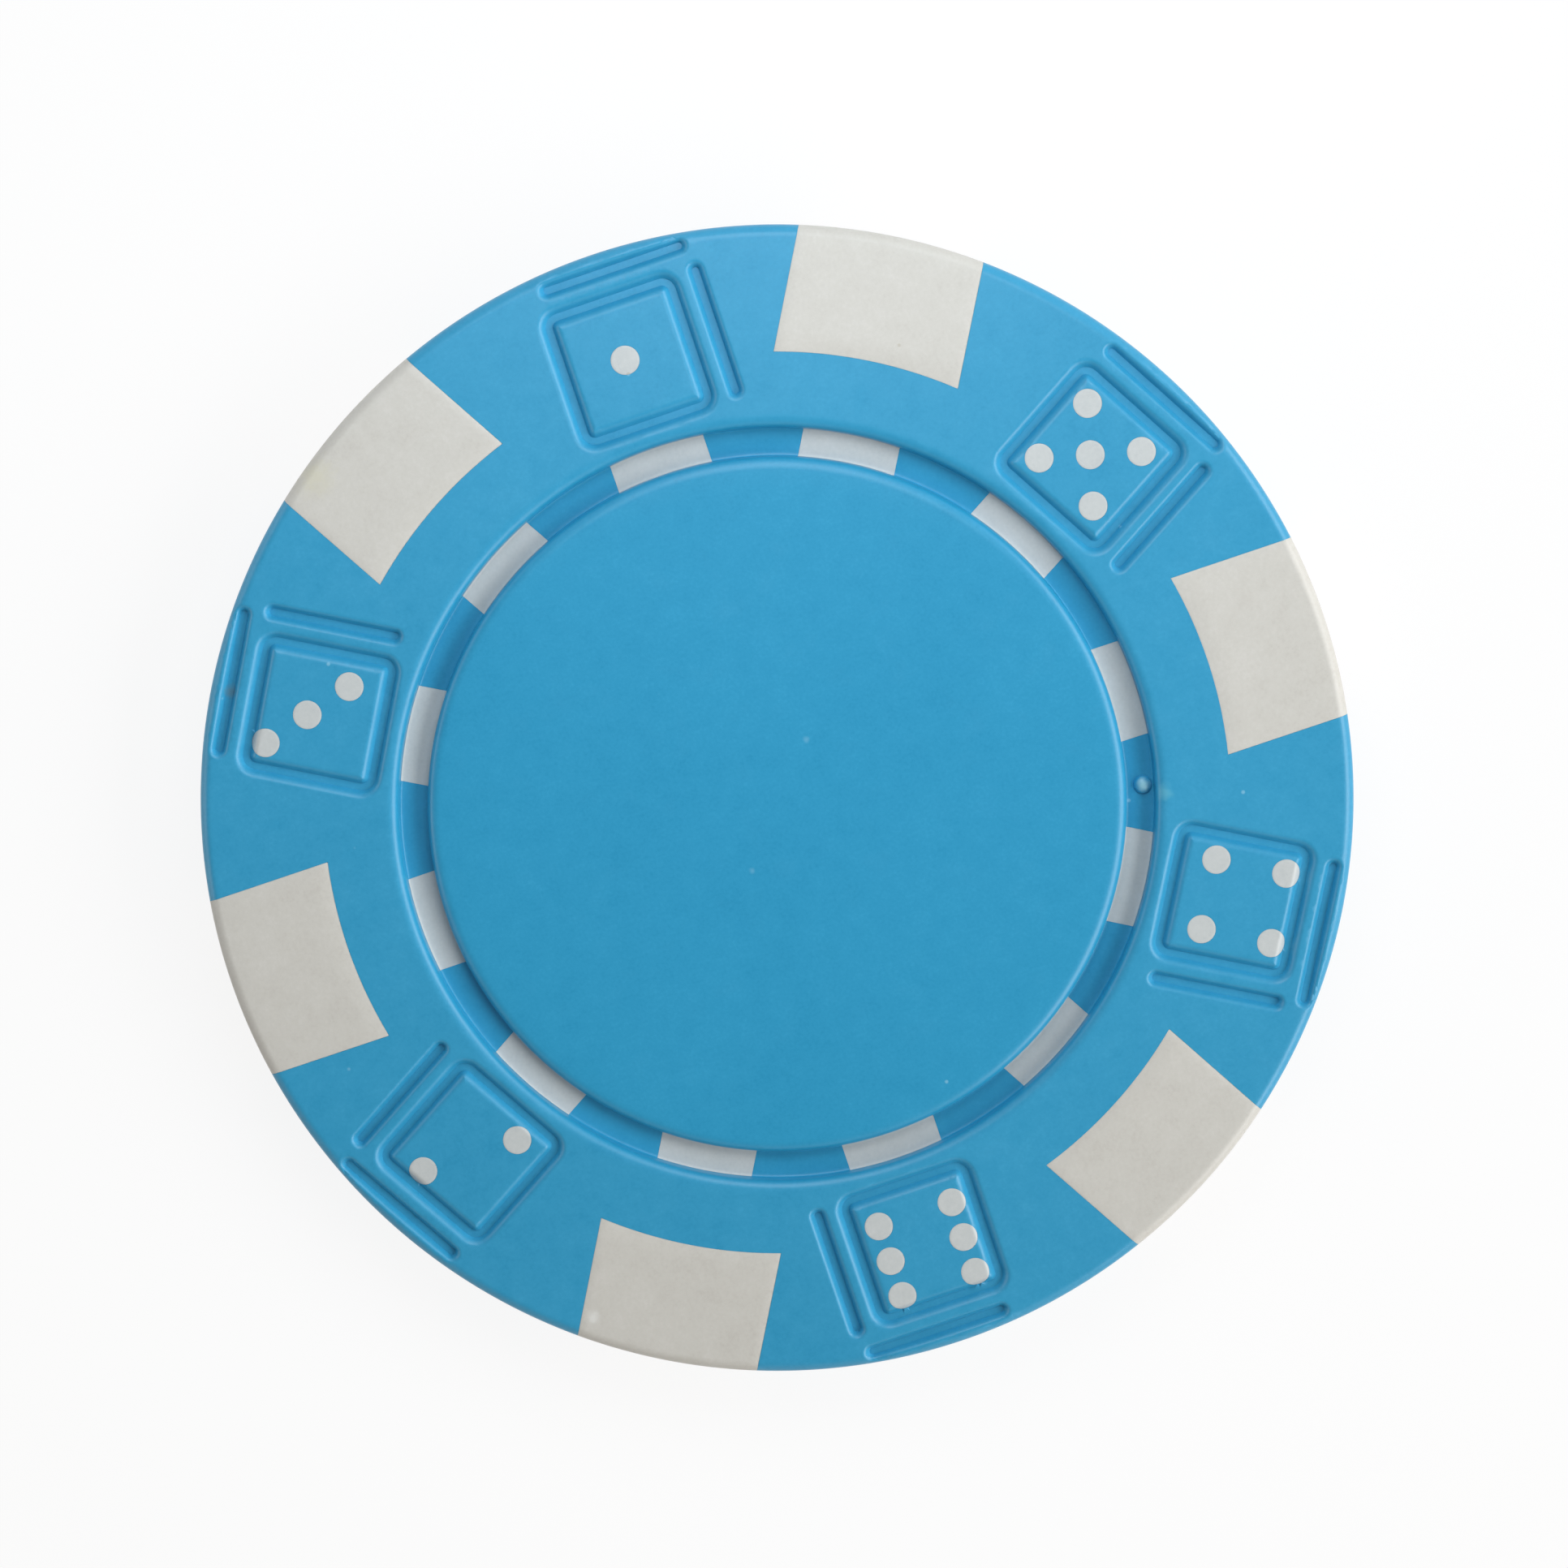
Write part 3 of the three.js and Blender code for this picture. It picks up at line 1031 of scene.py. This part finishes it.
@dataclass(frozen=True)
class ChipForm:
    """The named shapes that all pieces follow, so that they meet without a step."""

    outline: Outline
    groove: GrooveSection
    drawing: DieDrawing = DieDrawing()
    edge_zone: InsertZone = InsertZone(count=6, half_width=3.215, insert_steps=10, gap_steps=40)
    floor_zone: InsertZone = InsertZone(count=12, half_width=1.69, insert_steps=7, gap_steps=16)
    edge_insert_inner: float = 15.68
    edge_insert_rows: tuple[float, ...] = (16.4, 17.3, 18.2, 19.1)
    pip_radius: float = 0.5
    pip_points: int = 36
    seam: float = 0.004

    def ring_height(self, points: np.ndarray) -> np.ndarray:
        """Height of the ring's face in a die's frame: the face less the rim's drop and the grooves.

        Args:
            points: x and y in the frame of the nearest die.

        Returns:
            One height per point.
        """
        radius = np.linalg.norm(points, axis=-1)
        return self.outline.thickness - self.outline.rim_drop(radius) - self.drawing.groove_depth(points)

    def drawn_depth(self, points: np.ndarray) -> np.ndarray:
        """Depth of the dice's grooves anywhere on the chip, found in the frame of the nearest die.

        Args:
            points: x and y in the chip's frame.

        Returns:
            One depth per point.
        """
        radius = np.linalg.norm(points, axis=-1)
        angle = np.mod(np.arctan2(points[..., 1], points[..., 0]), DIE_PITCH) - DIE_PITCH / 2
        return self.drawing.groove_depth(np.stack([radius * np.cos(angle), radius * np.sin(angle)], -1))

    def edge_section(self) -> np.ndarray:
        """Radius and height on the front along an edge insert.

        Returns:
            One row per point, from the insert's inner end to the chip's side.
        """
        flat = [self.edge_insert_inner, *self.edge_insert_rows]
        radius = np.concatenate([flat, self.outline.rounding_rows()])
        height = self.outline.thickness - self.outline.rim_drop(radius)
        return np.concatenate([np.stack([radius, height], -1), self.outline.rim_section()])

    def pip_circle(self, radius: float) -> np.ndarray:
        """Points of a pip's edge around its middle."""
        angle = np.linspace(0, FULL_TURN, self.pip_points, endpoint=False)
        return radius * np.stack([np.cos(angle), np.sin(angle)], -1)


@dataclass(frozen=True)
class BlueBody:
    """The blue moulding: centre panel, ring groove, ring with six drawn dice, rim and feed stub."""

    form: ChipForm
    gate_angle_degrees: float = -15.2
    gate_offset: float = 0.1
    gate_radius: float = 0.33
    gate_height: float = 0.24
    gate_columns: int = 25
    gate_rows: int = 13
    sheet_step: float = 0.8
    sheet_margin: float = 0.1
    sheet_lead: float = 0.06
    sheet_columns: int = 61
    border_pull: float = 0.001
    pip_margin: float = 0.02
    node: ClassVar[str] = "blue_body"

    def build(self) -> bpy.types.Object:
        """Joins all patches of the moulding into one closed skin.

        Returns:
            The piece.
        """
        shell = Shell(self.form.outline.thickness)
        self.add_dish(shell)
        for index, die in enumerate(DICE):
            self.add_sector(shell, index, die)
        self.add_rim(shell)
        self.add_notches(shell)
        self.add_gate(shell)
        return shell.build("blue_moulding")

    def add_dish(self, shell: Shell) -> None:
        """Adds the panel and the groove: their section carried around the axis, with windows left open.

        Args:
            shell: The skin to add to.
        """
        groove, zone = self.form.groove, self.form.floor_zone
        rows = groove.rows()
        radius, height = rows[:, 0], rows[:, 1]
        inner, outer = groove.window
        angle = zone.full_turn(np.clip(radius, inner, outer))
        grid = polar(radius[:, None], angle, height[:, None])
        grid[..., 2] -= self.form.drawn_depth(grid[..., :2])
        floor_cell = (radius[:-1] > inner - WELD_DISTANCE) & (radius[1:] < outer + WELD_DISTANCE)
        keep = ~floor_cell[:, None] | zone.gap_cells()[None, :]
        shell.add_both(grid.reshape(-1, 3), grid_triangles(*grid.shape[:2], keep))
        floor = groove.floor_section()
        self.add_pockets(shell, zone, floor, floor[[0, -1]])

    @staticmethod
    def add_pockets(shell: Shell, zone: InsertZone, section: np.ndarray, ends: np.ndarray) -> None:
        """Adds the walls around every insert of a zone: two along its sides and some across its ends.

        Args:
            shell: The skin to add to.
            zone: The zone.
            section: Radius and height on the front along an insert.
            ends: Radius and height of each end that is walled off.
        """
        radius, height = section.T
        for index in range(zone.count):
            for side in (-zone.half_width, zone.half_width):
                shell.add_wall(polar(radius, zone.angle_at(index, side, radius), height))
            for end_radius, end_height in ends:
                angle = zone.angle_at(index, zone.across() * zone.half_width, end_radius)
                shell.add_wall(polar(end_radius, angle, end_height))

    def sector_border(self) -> np.ndarray:
        """Loop around one sixth of the ring's face in a die's frame.

        One half runs from the middle of the inner edge to the next insert, around its inner corner and
        out to the rim, and the other half is its mirror image.

        Returns:
            x and y of each corner.
        """
        form = self.form
        border = form.groove.border
        window_outer = form.groove.window[1]
        inner_angle = form.floor_zone.angles(np.array([window_outer]))[0]
        inner = np.stack([np.full_like(inner_angle, border), inner_angle], -1)
        half_pitch = DIE_PITCH / 2
        zone = form.edge_zone
        across = np.linspace(0, 1, zone.insert_steps + 1)
        end_angle = half_pitch - np.arcsin(across * zone.half_width / form.edge_insert_inner)
        end = np.stack([np.full_like(end_angle, form.edge_insert_inner), end_angle], -1)
        section = form.edge_section()[:, 0]
        side_radius = section[(section > form.edge_insert_inner) & (section < form.outline.ring_border)]
        side = np.stack([side_radius, half_pitch - np.arcsin(zone.half_width / side_radius)], -1)
        gap_middle = zone.insert_steps + zone.gap_steps // 2
        gap_end = zone.insert_steps + zone.gap_steps
        rim_angle = zone.angles(np.array([form.outline.ring_border]))[0] - half_pitch
        rim_angle = rim_angle[gap_middle:gap_end + 1][::-1]
        rim = np.stack([np.full_like(rim_angle, form.outline.ring_border), rim_angle], -1)
        half = np.concatenate([inner, end, side, rim])
        loop = np.concatenate([half, half[-2:0:-1] * (1, -1)])
        return polar(loop[:, 0], loop[:, 1], loop[:, 0] * 0)[:, :2]

    def sheet_points(self) -> np.ndarray:
        """Points spread over a sector: even rows on the flat ring and close rows on the rim's rounding.

        Returns:
            x and y of each point in a die's frame.
        """
        outline = self.form.outline
        start = outline.rounding_start
        inner = self.form.groove.border + self.sheet_margin
        flat = np.arange(inner, start - self.sheet_margin, self.sheet_step)
        rows = np.concatenate([flat, [start - self.sheet_lead], outline.rounding_rows()])
        angle = np.linspace(-DIE_PITCH / 2, DIE_PITCH / 2, self.sheet_columns)[1:-1]
        return polar(rows[:, None], angle[None, :], 0.0).reshape(-1, 3)[:, :2]

    def add_sector(self, shell: Shell, index: int, die: Die) -> None:
        """Adds one sixth of the ring's face with its die, and the bores of the die's pips.

        Args:
            shell: The skin to add to.
            index: Place of the die in the row around the ring.
            die: The die.
        """
        form = self.form
        border = self.sector_border()
        holes = [centre + form.pip_circle(form.pip_radius) for centre in die.centres(form.drawing)]
        contour = form.drawing.contour_points()
        sheet = self.sheet_points()
        sheet = sheet[form.drawing.clear_of_grooves(sheet, 2 * form.drawing.support)]
        extra = np.concatenate([contour, sheet])
        pulled = border * (1 - self.border_pull) + border.mean(axis=0) * self.border_pull
        room = inside_loop(pulled, extra)
        for centre in die.centres(form.drawing):
            room &= np.linalg.norm(extra - centre, axis=-1) > form.pip_radius + self.pip_margin
        flat, triangles = filled_loop(border, holes, extra[room])
        points = np.concatenate([flat, form.ring_height(flat)[:, None]], axis=1)
        shell.add_both(turned(points, die_angle(index)), triangles)
        for hole in holes:
            closed = np.concatenate([hole, hole[:1]])
            edge = np.concatenate([closed, form.ring_height(closed)[:, None]], axis=1)
            shell.add_wall(turned(edge, die_angle(index)))

    def add_rim(self, shell: Shell) -> None:
        """Adds the rim between the edge inserts: its section carried around the axis.

        Args:
            shell: The skin to add to.
        """
        section = self.form.outline.rim_section()
        angle = self.form.edge_zone.full_turn(section[:, 0])
        front = polar(section[:, :1], angle, section[:, 1:])
        front[..., 2] -= self.form.drawn_depth(front[..., :2])
        grid = np.concatenate([front, shell.mirrored(front)[::-1]])
        keep = np.tile(self.form.edge_zone.gap_cells(), (len(grid) - 1, 1))
        shell.add_grid(grid, keep)

    def add_notches(self, shell: Shell) -> None:
        """Adds the walls around the edge inserts: their sides and their inner ends.

        Args:
            shell: The skin to add to.
        """
        section = self.form.edge_section()
        self.add_pockets(shell, self.form.edge_zone, section, section[:1])

    def add_gate(self, shell: Shell) -> None:
        """Adds the stub where the plastic was fed in: an ellipsoid half sunk in the groove's floor.

        Args:
            shell: The skin to add to.
        """
        groove = self.form.groove
        around = np.linspace(0, FULL_TURN, self.gate_columns)[None, :]
        rise = np.linspace(-math.pi / 2, math.pi / 2, self.gate_rows)[:, None]
        flat = polar(self.gate_radius * np.cos(rise), around, 0.0)
        out = groove.floor_middle + self.gate_offset
        middle = polar(out, math.radians(self.gate_angle_degrees), groove.face - groove.floor_drop)
        flat[..., 2] = self.gate_height * np.sin(rise)
        shell.add_grid(flat + middle)

    def dress(self, piece: bpy.types.Object, material: bpy.types.Material) -> None:
        """Gives the moulding its finish and its place."""
        place_piece(piece, Slot.BLUE, material, self.node)


@dataclass(frozen=True)
class WhiteRow(ABC):
    """White pieces in a row around the axis, each of which shows on both faces."""

    form: ChipForm
    node: ClassVar[str]

    @property
    @abstractmethod
    def labels(self) -> tuple[str, ...]:
        """What tells the pieces apart, counterclockwise."""

    @abstractmethod
    def build(self, index: int) -> bpy.types.Object:
        """Makes one piece of the row.

        Args:
            index: Place of the piece around the axis, from 0.

        Returns:
            The piece.
        """

    def dress(self, piece: bpy.types.Object, index: int, material: bpy.types.Material) -> None:
        """Gives a piece its finish and its place."""
        place_piece(piece, Slot.WHITE, material, f"{self.node}_{self.labels[index]}")


@dataclass(frozen=True)
class EdgeInserts(WhiteRow):
    """Six white blocks that reach the rim, each with its edges eased a little."""

    node: ClassVar[str] = "edge_insert"
    ease: float = 0.05
    ease_drop: float = 0.012

    @property
    def labels(self) -> tuple[str, ...]:
        """Numbers from 1."""
        return tuple(str(number + 1) for number in range(self.form.edge_zone.count))

    def build(self, index: int) -> bpy.types.Object:
        """Makes one block: the front's section carried across its width, mirrored to the back.

        Args:
            index: Place of the insert around the axis, from 0.

        Returns:
            The piece.
        """
        form, zone = self.form, self.form.edge_zone
        section = form.edge_section()
        section[0, 0] += form.seam
        eased = np.array([section[0, 0] + self.ease, section[0, 1]])
        section = np.concatenate([section[:1] - (0, self.ease_drop), [eased], section[1:]])
        half = zone.half_width - form.seam
        margin = 1 - self.ease / half
        across = half * np.concatenate([[-1], np.clip(zone.across(), -margin, margin), [1]])
        drop = self.ease_drop * (np.abs(across) > half - self.ease / 2)
        radius, height = section[:, :1], section[:, 1:]
        outward = radius >= form.outline.radius - form.outline.rim_rounding / 2
        front = polar(radius, zone.angle_at(index, across, radius), height - np.where(outward, 0, drop))
        shell = Shell(form.outline.thickness)
        shell.add_block(front)
        return shell.build(f"edge_block_{self.labels[index]}")


@dataclass(frozen=True)
class GrooveInserts(WhiteRow):
    """Twelve short white blocks whose ends are part of the ring groove's floor."""

    node: ClassVar[str] = "groove_insert"

    @property
    def labels(self) -> tuple[str, ...]:
        """Numbers from 1."""
        return tuple(str(number + 1) for number in range(self.form.floor_zone.count))

    def build(self, index: int) -> bpy.types.Object:
        """Makes one block: the floor's section carried across its width, mirrored to the back.

        Args:
            index: Place of the insert around the axis, from 0.

        Returns:
            The piece.
        """
        form, zone = self.form, self.form.floor_zone
        section = form.groove.floor_section()
        radius, height = section[:, :1], section[:, 1:]
        radius = np.clip(radius, radius[0] + form.seam, radius[-1] - form.seam)
        across = (zone.half_width - form.seam) * zone.across()
        shell = Shell(form.outline.thickness)
        shell.add_block(polar(radius, zone.angle_at(index, across, radius), height))
        return shell.build(f"groove_block_{self.labels[index]}")


@dataclass(frozen=True)
class PipSets(WhiteRow):
    """White pins through the ring whose ends are the dice's pips."""

    node: ClassVar[str] = "pips"
    rings: int = 10
    ease: float = 0.03
    ease_drop: float = 0.008

    @property
    def labels(self) -> tuple[str, ...]:
        """Names of the dice."""
        return tuple(die.name for die in DICE)

    def build(self, index: int) -> bpy.types.Object:
        """Makes the pins of one die: discs that follow the ring's face, joined front to back.

        Args:
            index: Place of the die around the axis, from 0.

        Returns:
            The piece.
        """
        form = self.form
        shell = Shell(form.outline.thickness)
        edge = form.pip_radius - form.seam
        radii = np.concatenate([np.linspace(0, edge - self.ease, self.rings), [edge]])
        drop = self.ease_drop * (radii > edge - self.ease / 2)
        circle = form.pip_circle(1.0)
        circle = np.concatenate([circle, circle[:1]])
        for centre in DICE[index].centres(form.drawing):
            flat = centre + radii[:, None, None] * circle
            height = form.ring_height(flat) - drop[:, None]
            front = turned(np.concatenate([flat, height[..., None]], axis=-1), die_angle(index))
            shell.add_grid(np.concatenate([front, shell.mirrored(front)[::-1]]))
        return shell.build(f"pip_pins_{self.labels[index]}")


@dataclass(frozen=True)
class SteelSlug:
    """The steel disc inside the chip, which keeps its own solid."""

    node: ClassVar[str] = "steel_slug"

    def dress(self, material: bpy.types.Material) -> None:
        """Gives the disc its finish."""
        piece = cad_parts[self.node]
        piece.data.materials.clear()
        piece.data.materials.append(material)


# Studio


@dataclass(frozen=True)
class SoftBox:
    """A flat soft lamp that faces the chip.

    Level is how much of the light a flat white face would send back from this lamp alone. A lamp of P
    watts at distance d and elevation e gives P sin(e) / (pi d)^2 of it, less what its width costs: with
    s its half width over d, the share (s / (1 + s^2) + atan(s)) / (2 s) is left.
    """

    name: str
    bearing_degrees: float
    elevation_degrees: float
    distance: float
    width: float
    height: float
    level: float
    colour: tuple[float, float, float] = WHITE_LIGHT[:3]

    def build(self) -> None:
        """Places the lamp, facing the chip."""
        toward = direction(self.bearing_degrees, self.elevation_degrees)
        lamp = bpy.data.lights.new(self.name, "AREA")
        lamp.shape = "RECTANGLE"
        lamp.size = self.width * MM
        lamp.size_y = self.height * MM
        spread = self.width / 2 / self.distance
        share = (spread / (1 + spread ** 2) + math.atan(spread)) / (2 * spread)
        lamp.energy = self.level * (math.pi * self.distance * MM) ** 2 / toward.z / share
        lamp.color = self.colour
        holder = linked(self.name, lamp)
        holder.location = toward * self.distance * MM
        holder.rotation_euler = toward.to_track_quat("Z", "Y").to_euler()


@dataclass(frozen=True)
class Studio:
    """Pale floor, even surrounding light, soft lamps and the camera."""

    outline: Outline
    floor_size: float = 1200.0
    floor_points: int = 5
    floor_gap: float = 0.02
    floor_white: float = 0.9
    floor_share: float = 0.88
    floor_fade: tuple[float, float] = (60.0, 150.0)
    ambient: float = 0.2
    ambient_colour: tuple[float, float, float] = (1.0, 0.90, 0.78)
    ceiling_rise: tuple[float, float] = (0.45, 0.80)
    picture_turn_degrees: float = 18.66
    lens_pixels: float = 4221.0
    image_pixels: float = 1932.0
    sensor: float = 36.0
    camera_bearing_degrees: float = 72.81
    camera_tilt_degrees: float = 5.83
    camera_up_degrees: float = 71.35
    camera_distance: float = 118.39
    camera_nearest: float = 5.0
    aim: tuple[float, float] = (0.49, 0.733)

    def lamps(self) -> tuple[SoftBox, ...]:
        """The lamps, with bearings measured in the picture turned into the chip's frame.

        Returns:
            A wide key from the right, a small near lamp from above and a low fill from the left.
        """
        turn = self.picture_turn_degrees
        return (
            SoftBox("key_lamp", bearing_degrees=-6 - turn, elevation_degrees=33,
                    distance=260, width=440, height=140, level=0.475),
            SoftBox("top_lamp", bearing_degrees=90 - turn, elevation_degrees=53,
                    distance=70, width=45, height=45, level=0.34, colour=(0.90, 1.0, 1.10)),
            SoftBox("left_fill", bearing_degrees=178 - turn, elevation_degrees=14,
                    distance=260, width=300, height=90, level=0.04),
        )

    def build(self) -> None:
        """Makes the whole studio."""
        self.build_floor()
        self.build_world()
        for lamp in self.lamps():
            lamp.build()
        self.build_camera()
        bpy.context.scene.view_settings.view_transform = "Standard"

    @staticmethod
    def seen_directly(bench: NodeBench) -> Wire:
        """Tells rays that see a thing from rays that light it.

        Args:
            bench: The bench to add nodes to.

        Returns:
            1 for rays from the camera, from mirrors and through glass, 0 for the others.
        """
        names = ("Is Camera Ray", "Is Glossy Ray", "Is Transmission Ray")
        camera, glossy, through = (bench.node("ShaderNodeLightPath", output=name) for name in names)
        return camera.at_least(glossy).at_least(through)

    def build_floor(self) -> None:
        """Makes the floor: a flat sheet that looks white and keeps the chip's shadow.

        Away from the chip it fades to plain white, so that it has no visible end.
        """
        half = self.floor_size / 2
        span = np.linspace(-half, half, self.floor_points)
        x, y = np.meshgrid(span, span, indexing="ij")
        grid = np.stack([x, y, np.full_like(x, -self.floor_gap)], -1) * MM
        mesh = bpy.data.meshes.new("pale_floor")
        mesh.from_pydata(grid.reshape(-1, 3), [], grid_triangles(*x.shape).tolist())
        floor = linked("pale_floor", mesh)
        material, bench = new_material("pale_floor")
        matt = bench.node("ShaderNodeBsdfDiffuse", None, {"Color": (*[self.floor_white] * 3, 1.0)})
        white = bench.node("ShaderNodeEmission", None, {"Color": WHITE_LIGHT, "Strength": 1.0})
        start, end = (MM * radius for radius in self.floor_fade)
        far = bench.between(bench.axis_distance(bench.object_place()), start, end)
        share = self.seen_directly(bench) * (self.floor_share + (1.0 - self.floor_share) * far)
        surface = bench.node("ShaderNodeMixShader", None, {0: share, 1: matt, 2: white})
        bench.node("ShaderNodeOutputMaterial", None, {"Surface": surface})
        mesh.materials.append(material)

    def build_world(self) -> None:
        """Makes the even light around: dim for lighting, white where it is seen directly.

        The ceiling stays darker than the walls in what the chip mirrors.
        """
        world = bpy.data.worlds.new("even_light")
        world.use_nodes = True
        bench = NodeBench(world.node_tree)
        toward = bench.node("ShaderNodeTexCoord", output="Generated")
        rise = bench.node("ShaderNodeSeparateXYZ", None, {"Vector": toward}, output="Z")
        mirrored = bench.node("ShaderNodeLightPath", output="Is Glossy Ray")
        ceiling = bench.between(rise, *self.ceiling_rise) * mirrored
        seen = self.seen_directly(bench)
        strength = self.ambient + (1.0 - self.ambient) * seen * (1.0 - ceiling)
        colour = bench.mixed(seen, (*self.ambient_colour, 1.0), WHITE_LIGHT)
        sky = bench.node("ShaderNodeBackground", None, {"Color": colour, "Strength": strength})
        bench.node("ShaderNodeOutputWorld", None, {"Surface": sky})
        bpy.context.scene.world = world

    def build_camera(self) -> None:
        """Places the camera above the chip, tilted a little from its axis."""
        back = direction(self.camera_bearing_degrees, 90 - self.camera_tilt_degrees)
        rough_up = direction(self.camera_up_degrees, 0)
        up = (rough_up - back * rough_up.dot(back)).normalized()
        right = up.cross(back)
        target = Vector((*self.aim, self.outline.thickness))
        spot = (target + back * self.camera_distance) * MM
        camera = bpy.data.cameras.new("photo_camera")
        camera.sensor_fit = "HORIZONTAL"
        camera.sensor_width = self.sensor
        camera.lens = self.lens_pixels / self.image_pixels * self.sensor
        camera.clip_start = self.camera_nearest * MM
        holder = linked("photo_camera", camera)
        turn = Matrix((right, up, back)).transposed()
        holder.matrix_world = Matrix.Translation(spot) @ turn.to_4x4()
        bpy.context.scene.camera = holder


BLUE_FINISH = SatinPlastic(
    name="blue_satin",
    colour=(42, 151, 194),
    pale=(49, 157, 200),
    deep=(35, 145, 188),
    speck=(150, 205, 228),
    haze_share=0.012,
    marks=(
        # The feed stub's top, partly pale stress-whitened plastic and partly a painted highlight, and a
        # lighter smear on the ring's edge beside it.
        Mark((12.28, -3.34, 2.85), 0.38, (158, 210, 222), 0.8),
        Mark((12.87, -3.75, 3.2), 0.42, (104, 186, 208), 0.6),
        # A grey stain in the outer line of the die with three pips.
        Mark((-16.57, 9.87, 3.08), 0.34, (112, 120, 114), 0.5),
        # Two pale specks on the panel.
        Mark((1.71, 1.96, 3.25), 0.17, (140, 196, 220), 0.3),
        Mark((-1.52, -1.79, 3.25), 0.15, (140, 196, 220), 0.3),
    ),
)
WHITE_FINISH = SatinPlastic(
    name="white_satin",
    colour=(204, 202, 195),
    pale=(210, 208, 202),
    deep=(197, 194, 187),
    speck=(176, 168, 150),
    roughness=0.42,
    marks=(
        # A faint yellow stain at the outer end of one insert, and a bright rubbed place on another.
        Mark((-11.35, 15.9, 3.3), 1.0, (208, 204, 170), 0.35),
        Mark((-11.89, -14.96, 3.3), 0.34, (230, 231, 228), 0.65),
    ),
)
# Bluish white for the groove inserts and pips: partly the blue body showing through the thin white plastic,
# partly painted blue light bounced from the groove's blue walls.
TRANSLUCENT_AND_BOUNCE_WHITE_FINISH = SatinPlastic(
    name="translucent_and_bounce_white_satin",
    colour=(196, 201, 201),
    pale=(203, 207, 207),
    deep=(188, 194, 195),
    speck=(170, 166, 152),
    roughness=0.42,
)


def chip_form() -> ChipForm:
    """Takes the chip's overall size from the frame and sets the shapes that follow from it.

    Returns:
        The form that all pieces share.
    """
    low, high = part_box(BlueBody.node)
    thickness = (high[2] - low[2]) / MM
    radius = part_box(f"{EdgeInserts.node}_1")[1][0] / MM
    return ChipForm(Outline(radius, thickness), GrooveSection(face=thickness))


def main() -> None:
    """Builds and dresses every piece, then the studio."""
    logging.basicConfig(level=logging.INFO, format="%(name)s: %(message)s")
    form = chip_form()
    blue = BLUE_FINISH.material()
    white = WHITE_FINISH.material()
    translucent_and_bounce_white = TRANSLUCENT_AND_BOUNCE_WHITE_FINISH.material()
    body = BlueBody(form)
    body.dress(body.build(), blue)
    rows = (EdgeInserts(form), white), (GrooveInserts(form), translucent_and_bounce_white), (PipSets(form), translucent_and_bounce_white)
    for row, finish in rows:
        for index in range(len(row.labels)):
            row.dress(row.build(index), index, finish)
    SteelSlug().dress(TurnedSteel().material())
    Studio(form.outline).build()


if __name__ == "__main__":
    main()
